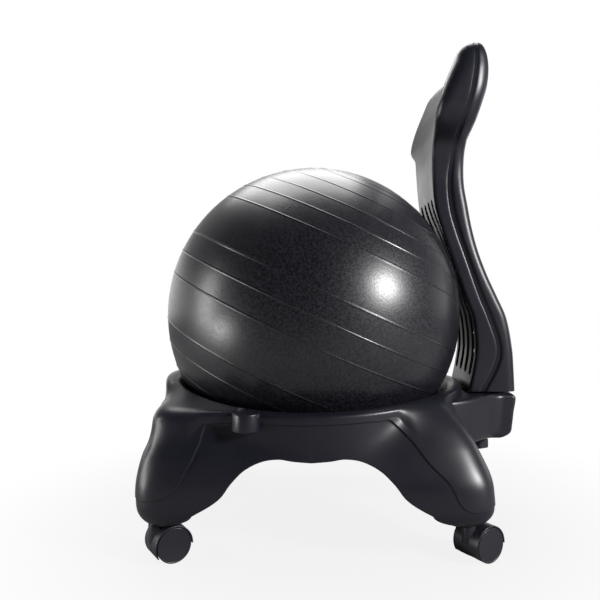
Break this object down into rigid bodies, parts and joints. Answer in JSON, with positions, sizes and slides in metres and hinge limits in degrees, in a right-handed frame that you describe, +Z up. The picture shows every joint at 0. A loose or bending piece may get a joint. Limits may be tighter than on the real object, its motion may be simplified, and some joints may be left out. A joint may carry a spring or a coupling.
{
  "type": "balance ball chair",
  "caption": "Four-legged moulded ring on twin-wheel casters holding an inflated exercise ball as its seat, with a slotted T-shaped backrest clamped by hand knobs.",
  "frame": {"origin": "on the floor, under the middle of the chair's footprint", "axes": "+Z up; the sitter faces -Y, so the backrest is towards +Y; +X is the sitter's left"},
  "size_m": [0.5176, 0.5906, 0.776],
  "materials": {
    "base_plastic": "satin moulded polypropylene",
    "backrest_plastic": "satin moulded polypropylene",
    "ball_vinyl": "satin speckled vinyl",
    "plug_plastic": "moulded",
    "knob_plastic": "satin",
    "caster_plastic": "satin nylon",
    "socket_plastic": "moulded",
    "steel": "zinc plated",
    "insert_brass": "knurled"
  },
  "bodies": {
    "base": {"base_front_half": "base_plastic", "base_rear_half": "base_plastic", "caster_socket_front_left": "socket_plastic", "caster_stem_front_left": "steel", "caster_grip_ring_front_left": "steel", "caster_socket_front_right": "socket_plastic", "caster_stem_front_right": "steel", "caster_grip_ring_front_right": "steel", "caster_socket_rear_left": "socket_plastic", "caster_stem_rear_left": "steel", "caster_grip_ring_rear_left": "steel", "caster_socket_rear_right": "socket_plastic", "caster_stem_rear_right": "steel", "caster_grip_ring_rear_right": "steel"},
    "backrest": {"backrest_front_shell": "backrest_plastic", "backrest_rear_shell": "backrest_plastic", "backrest_insert_left": "insert_brass", "backrest_insert_right": "insert_brass"},
    "ball": {"ball": "ball_vinyl"},
    "ball_plug": {"ball_plug": "plug_plastic"},
    "knob_washer_left": {"knob_washer_left": "steel"},
    "hand_knob_left": {"hand_knob_left": "knob_plastic", "knob_stud_left": "steel"},
    "knob_washer_right": {"knob_washer_right": "steel"},
    "hand_knob_right": {"hand_knob_right": "knob_plastic", "knob_stud_right": "steel"},
    "caster_front_left": {"caster_hood_front_left": "caster_plastic", "caster_axle_front_left": "steel"},
    "wheel_outer_front_left": {"caster_wheel_outer_front_left": "caster_plastic"},
    "wheel_inner_front_left": {"caster_wheel_inner_front_left": "caster_plastic"},
    "caster_front_right": {"caster_hood_front_right": "caster_plastic", "caster_axle_front_right": "steel"},
    "wheel_outer_front_right": {"caster_wheel_outer_front_right": "caster_plastic"},
    "wheel_inner_front_right": {"caster_wheel_inner_front_right": "caster_plastic"},
    "caster_rear_left": {"caster_hood_rear_left": "caster_plastic", "caster_axle_rear_left": "steel"},
    "wheel_outer_rear_left": {"caster_wheel_outer_rear_left": "caster_plastic"},
    "wheel_inner_rear_left": {"caster_wheel_inner_rear_left": "caster_plastic"},
    "caster_rear_right": {"caster_hood_rear_right": "caster_plastic", "caster_axle_rear_right": "steel"},
    "wheel_outer_rear_right": {"caster_wheel_outer_rear_right": "caster_plastic"},
    "wheel_inner_rear_right": {"caster_wheel_inner_rear_right": "caster_plastic"}
  },
  "joints": [
    {"name": "ball_lift", "type": "slide", "parent": "base", "child": "ball", "axis": [0, -0.4384, 0.8988], "range_m": [0, 0.3]},
    {"name": "ball_plug_pull", "type": "slide", "parent": "ball", "child": "ball_plug", "axis": [0, -0.4179, -0.9085], "range_m": [0, 0.022]},
    {"name": "backrest_lift", "type": "slide", "parent": "base", "child": "backrest", "axis": [0, 0, 1], "range_m": [0, 0.045]},
    {"name": "knob_travel_left", "type": "slide", "parent": "base", "child": "knob_washer_left", "axis": [0, 0, -1], "range_m": [0, 0.015]},
    {"name": "knob_turn_left", "type": "hinge", "parent": "knob_washer_left", "child": "hand_knob_left", "pos_m": [0.036, 0.24031, 0.1404], "axis": [0, 0, -1], "range_deg": [0, 4325]},
    {"name": "knob_travel_right", "type": "slide", "parent": "base", "child": "knob_washer_right", "axis": [0, 0, -1], "range_m": [0, 0.015]},
    {"name": "knob_turn_right", "type": "hinge", "parent": "knob_washer_right", "child": "hand_knob_right", "pos_m": [-0.036, 0.24031, 0.1404], "axis": [0, 0, -1], "range_deg": [0, 4325]},
    {"name": "swivel_front_left", "type": "hinge", "parent": "base", "child": "caster_front_left", "pos_m": [0.219, -0.26569, 0.0534], "axis": [0, 0, 1], "continuous": true},
    {"name": "wheel_outer_spin_front_left", "type": "hinge", "parent": "caster_front_left", "child": "wheel_outer_front_left", "pos_m": [0.20811, -0.24892, 0.025], "axis": [0.8387, 0.5446, 0], "continuous": true},
    {"name": "wheel_inner_spin_front_left", "type": "hinge", "parent": "caster_front_left", "child": "wheel_inner_front_left", "pos_m": [0.20811, -0.24892, 0.025], "axis": [0.8387, 0.5446, 0], "continuous": true},
    {"name": "swivel_front_right", "type": "hinge", "parent": "base", "child": "caster_front_right", "pos_m": [-0.219, -0.26569, 0.0534], "axis": [0, 0, 1], "continuous": true},
    {"name": "wheel_outer_spin_front_right", "type": "hinge", "parent": "caster_front_right", "child": "wheel_outer_front_right", "pos_m": [-0.20811, -0.24892, 0.025], "axis": [0.8387, -0.5446, 0], "continuous": true},
    {"name": "wheel_inner_spin_front_right", "type": "hinge", "parent": "caster_front_right", "child": "wheel_inner_front_right", "pos_m": [-0.20811, -0.24892, 0.025], "axis": [0.8387, -0.5446, 0], "continuous": true},
    {"name": "swivel_rear_left", "type": "hinge", "parent": "base", "child": "caster_rear_left", "pos_m": [0.219, 0.18431, 0.0534], "axis": [0, 0, 1], "continuous": true},
    {"name": "wheel_outer_spin_rear_left", "type": "hinge", "parent": "caster_rear_left", "child": "wheel_outer_rear_left", "pos_m": [0.20811, 0.20108, 0.025], "axis": [0.8387, 0.5446, 0], "continuous": true},
    {"name": "wheel_inner_spin_rear_left", "type": "hinge", "parent": "caster_rear_left", "child": "wheel_inner_rear_left", "pos_m": [0.20811, 0.20108, 0.025], "axis": [0.8387, 0.5446, 0], "continuous": true},
    {"name": "swivel_rear_right", "type": "hinge", "parent": "base", "child": "caster_rear_right", "pos_m": [-0.219, 0.18431, 0.0534], "axis": [0, 0, 1], "continuous": true},
    {"name": "wheel_outer_spin_rear_right", "type": "hinge", "parent": "caster_rear_right", "child": "wheel_outer_rear_right", "pos_m": [-0.20811, 0.20108, 0.025], "axis": [0.8387, -0.5446, 0], "continuous": true},
    {"name": "wheel_inner_spin_rear_right", "type": "hinge", "parent": "caster_rear_right", "child": "wheel_inner_rear_right", "pos_m": [-0.20811, 0.20108, 0.025], "axis": [0.8387, -0.5446, 0], "continuous": true}
  ],
  "couplings": [
    {"joint": "knob_turn_left", "follows": "knob_travel_left", "rad_per_m": 5026.5},
    {"joint": "knob_turn_right", "follows": "knob_travel_right", "rad_per_m": 5026.5}
  ]
}
